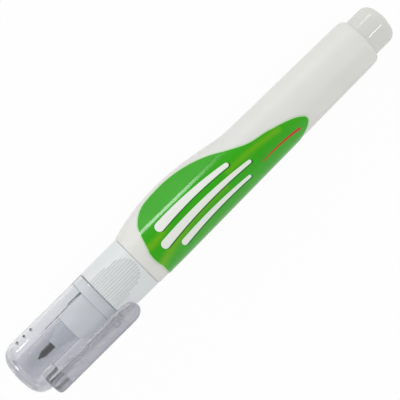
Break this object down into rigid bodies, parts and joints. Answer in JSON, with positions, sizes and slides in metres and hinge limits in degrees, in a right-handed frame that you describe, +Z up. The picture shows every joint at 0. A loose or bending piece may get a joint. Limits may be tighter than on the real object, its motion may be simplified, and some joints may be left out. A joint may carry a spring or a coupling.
{
  "type": "correction pen",
  "caption": "Squeeze correction pen with a belly barrel, ribbed collar, spring valve tip, clear push-on cap with a moulded clip, and a rear plug.",
  "frame": {"origin": "centre of the bounding box in plan, on the surface that the pen's back flat lies on", "axes": "+X along the pen towards its rear plug, +Y towards the belly, +Z up through the label"},
  "size_m": [0.1352, 0.0214, 0.0179],
  "materials": {
    "soft_white_plastic": "satin",
    "white_plastic": "satin",
    "gloss_white_plastic": "gloss",
    "label_film": "gloss",
    "clear_plastic": "clear gloss",
    "steel": "drawn",
    "polished_steel": "polished"
  },
  "bodies": {
    "barrel": {"barrel": "soft_white_plastic", "label": "label_film", "rear_plug": "gloss_white_plastic", "nozzle_collar": "white_plastic", "tip_holder": "white_plastic", "tip_tube": "steel", "spring_stop": "white_plastic", "valve_spring": "steel"},
    "inner_cap": {"inner_cap": "clear_plastic"},
    "cap": {"cap_shell": "clear_plastic"},
    "valve_pin": {"valve_pin": "steel"},
    "mixing_ball": {"mixing_ball": "polished_steel"}
  },
  "joints": [
    {"name": "cap_pull", "type": "slide", "parent": "barrel", "child": "inner_cap", "axis": [-1, 0, 0], "range_m": [0, 0.04]},
    {"name": "cap_turn", "type": "hinge", "parent": "inner_cap", "child": "cap", "pos_m": [-0.05225, 0.0001, 0.008], "axis": [1, 0, 0], "continuous": true},
    {"name": "valve_press", "type": "slide", "parent": "barrel", "child": "valve_pin", "axis": [1, 0, 0], "range_m": [0, 0.0007], "stiffness_N_per_m": 300, "springref_m": -0.001, "deforming": ["valve_spring"]},
    {"name": "ball_run", "type": "slide", "parent": "barrel", "child": "mixing_ball", "axis": [-1, 0, 0], "range_m": [0, 0.056]}
  ]
}
